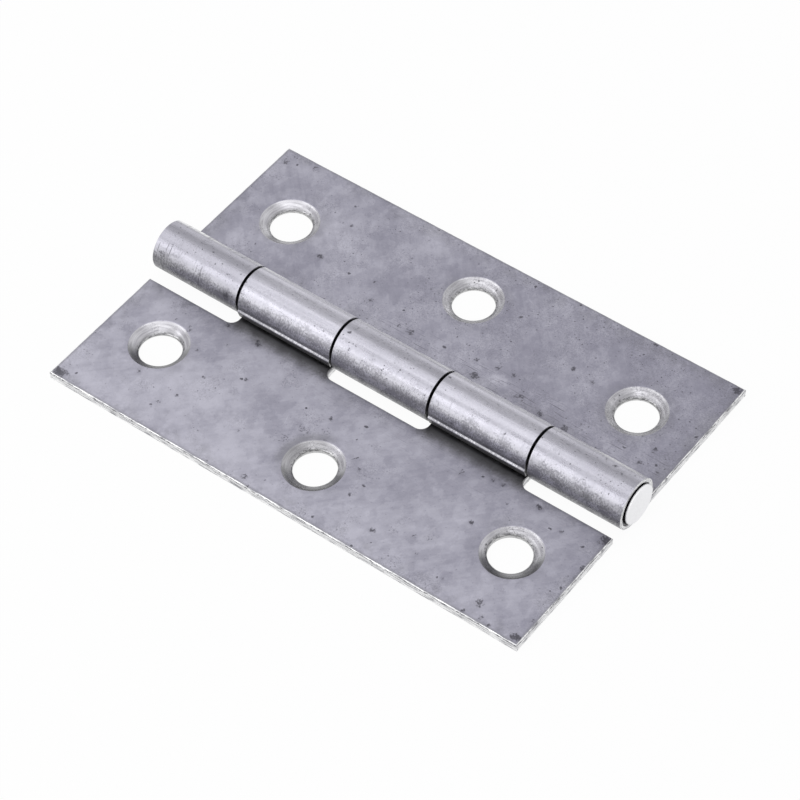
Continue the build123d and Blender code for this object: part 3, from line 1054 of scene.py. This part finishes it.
# %% Lay the colours over each other
def layered_colour(at):
    """The sheet's tone first, then cones, old oil with painted shade, and pits, then what the tools cut
    bright, and last painted shade in the gaps and the bore.
    """
    tree = at.tree
    past_roll = -at.s - ROLLED
    lip = past_roll.fade(-0.67, -0.57) * past_roll.fade(-0.2, -0.32)
    arris = at.from_cut.fade(0.24, 0.1) * at.flat * at.s.fade(NOTCH_EDGE + 0.5, NOTCH_EDGE + 1.5)
    bright = (at.cut_edge * 0.9).above(arris * 0.33).above(lip * 0.15)
    # Painted shade: the knuckle ends in the gaps and the inside of the bore are painted dark.
    painted_gap_shade = at.cut_edge * at.rolled * at.x.unsigned().fade(37.0, 36.5) * at.high.fade(0.05, 0.25)
    painted_bore_shade = at.rolled * (-at.cut_edge + 1.0) * at.high.fade(0.8, 1.0)
    colour = blend(tree, at.sunk * 0.95, sheet_colour, sunk_colour)
    # Old oil, with painted shade in the creases, under the barrel and beside the middle hole.
    colour = blend(tree, oil_and_shade * (-lip + 1.0) * 0.8, colour, (0.1, 0.1, 0.096, 1))
    colour = blend(tree, dark * 0.85, colour, (0.05, 0.048, 0.057, 1))
    colour = blend(tree, bright, colour, bright_cut)
    # Painted shade in the gaps and the bore.
    return blend(tree, painted_gap_shade.above(painted_bore_shade), colour, (0.15, 0.15, 0.16, 1))


leaf_colour = layered_colour(at)
print("with all its colours it has", len(at.tree.nodes))


# %% Dullness and bumps
def leaf_surface(at):
    """How dull the steel is, and the small heights that its bumps follow."""
    roughness = (at.mottle - 0.5) * 0.3 + 0.38 - at.rolled * 0.1 - at.sunk * 0.16
    roughness = roughness + dark * 0.15 + at.cut_edge * 0.1 + (at.scuffs - 0.5) * 0.1
    height = at.mottle * 0.6 + at.grain * 0.35 + at.pattern(5.5, 3.0, 0.6) * (at.rolled * 0.4 + 0.2)
    height = (height + at.scuffs * 0.3) * (-at.sunk * 0.8 + 1.0)
    height = height - dark * 0.7 + at.cut_edge * torn * 2.0 + at.die_marks * at.rolled * 1.6
    return roughness, height


end_steel(at.tree, leaf_colour, *leaf_surface(at))
print("the leaves' finish ends with", len(at.tree.nodes), "nodes")

# %% [markdown]
# ## The pin's steel
# Drawn wire shows fine lines along its length. The hammer leaves the end faces matt and pale. The
# shank inside the knuckles and the deep ring between the head and its knuckle are painted dark as shade.

# %% Finish of the pin
def finish_pin():
    tree = empty_finish(pin_steel)
    place = millimetres(tree)
    x, y, z = split(tree, place)
    end = x.unsigned().fade(BARREL_END, BARREL_END + 0.3)
    drawn = noise(tree, joined(tree, x * 0.3, y * 6.0, z * 6.0), 1.0, 4.0, 0.7)
    matt = noise(tree, place, 6.0, 6.0, 0.7)
    wire = blend(tree, drawn, (0.4, 0.4, 0.42, 1), (0.62, 0.62, 0.64, 1))
    face = blend(tree, matt, (0.82, 0.82, 0.84, 1), (0.95, 0.95, 0.96, 1))
    # Painted shade: the shank inside the knuckles and the ring next to each knuckle are painted near
    # black.
    painted_shade_inside = x.unsigned().fade(BARREL_END + 0.15, BARREL_END - 0.05)
    colour = blend(tree, painted_shade_inside, blend(tree, end, wire, face), (0.03, 0.03, 0.03, 1))
    end_steel(tree, colour, end * 0.2 + 0.35, drawn * 0.3 + end * matt * 1.2)
    return tree


print("pin finish has", len(finish_pin().nodes), "nodes")

# %% [markdown]
# ## Floor and light
# Steel shows its surroundings more than itself, so the light matters as much as the finish. The
# hinge lies on a plain white sheet in soft light from all round, with four brighter windows of
# light: two at the front left, one above and one behind. They draw the pale bands along the barrel.
# A picture of a room could light it too, but windows can be moved one by one until the bands fit.
# What the camera sees of floor and sky is plain white, and so is what the steel reflects of them.
# The floor still takes the hinge's shadow.

# %% Floor
FLOOR_DROP = 0.00005


def seen_not_lit(tree):
    """1 for what the camera sees straight, in polished steel or through glass, and 0 for light."""
    rays = put(tree, "ShaderNodeLightPath").outputs
    straight, in_steel, through = (
        Quantity(tree, rays[f"Is {kind} Ray"]) for kind in ("Camera", "Glossy", "Transmission"))
    return straight.above(in_steel).above(through)


def white_floor():
    mesh = bpy.data.meshes.new("floor")
    corners = [(x, y, -FLOOR_DROP) for x, y in ((-3, -3), (3, -3), (3, 3), (-3, 3))]
    mesh.from_pydata(corners, [], [(0, 1, 2, 3)])
    floor = bpy.data.objects.new("floor", mesh)
    bpy.context.scene.collection.objects.link(floor)
    finish = bpy.data.materials.new("white_sheet")
    tree = empty_finish(finish)
    paper = result(tree, "ShaderNodeBsdfDiffuse", {"Color": (0.92, 0.92, 0.92, 1)})
    glow = result(tree, "ShaderNodeEmission", {"Color": (1, 1, 1, 1), "Strength": 1.0})
    mixed = result(tree, "ShaderNodeMixShader", {0: seen_not_lit(tree) * 0.95, 1: paper, 2: glow})
    put(tree, "ShaderNodeOutputMaterial", {0: mixed})
    mesh.materials.append(finish)
    return floor


print("floor laid,", round(white_floor().dimensions.x), "m wide")


# %% Sky and windows of light
WINDOW_DISTANCE = 0.9


def window_of_light(name, direction, wide, high, radiance, facing=None):
    """A soft rectangle of light that faces the hinge, by how bright it looks in the steel."""
    lamp = bpy.data.lights.new(name, "AREA")
    lamp.shape, lamp.size, lamp.size_y = "RECTANGLE", wide, high
    lamp.energy = radiance * pi * wide * high
    holder = bpy.data.objects.new(name, lamp)
    direction = Vector(direction).normalized()
    holder.location = direction * WINDOW_DISTANCE
    holder.rotation_euler = Vector(facing or direction).to_track_quat("Z", "Y").to_euler()
    bpy.context.scene.collection.objects.link(holder)


def hang_sky():
    sky = bpy.data.worlds.new("sky")
    bpy.context.scene.world = sky
    tree = empty_finish(sky)
    lit = result(tree, "ShaderNodeBackground", {0: (0.98, 0.98, 1.0, 1), 1: 0.6})
    plain = result(tree, "ShaderNodeBackground", {0: (1, 1, 1, 1), 1: 1.0})
    mixed = result(tree, "ShaderNodeMixShader", {0: seen_not_lit(tree), 1: lit, 2: plain})
    put(tree, "ShaderNodeOutputWorld", {0: mixed})


hang_sky()
window_of_light("window_front_left", (-0.41, -0.68, 0.55), 0.8, 0.4, 1.5)
window_of_light("window_front_low", (-0.41, -0.88, 0.17), 0.8, 0.3, 0.95)
window_of_light("window_above", (-0.36, -0.1, 0.93), 1.2, 0.62, 0.86, facing=(0, 0, 1))
window_of_light("window_far_back", (-0.41, 0.87, 0.2), 0.9, 0.26, 0.5)

# %% [markdown]
# ## Hand over to the frame
# Each finished piece takes the place of its solid and rides on the body that the solid belongs to,
# so that the leaf with two knuckles swings and the pin stays with the other leaf.

# %% Ride on the bodies
for piece, node, body, slot in (
    (three_knuckles, "three_knuckle_leaf", "fixed_leaf", "leaf_steel"),
    (two_knuckles, "two_knuckle_leaf", "swinging_leaf", "leaf_steel"),
    (pin, "pin", "fixed_leaf", "pin_steel"),
):
    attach(piece, body)
    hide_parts(node)
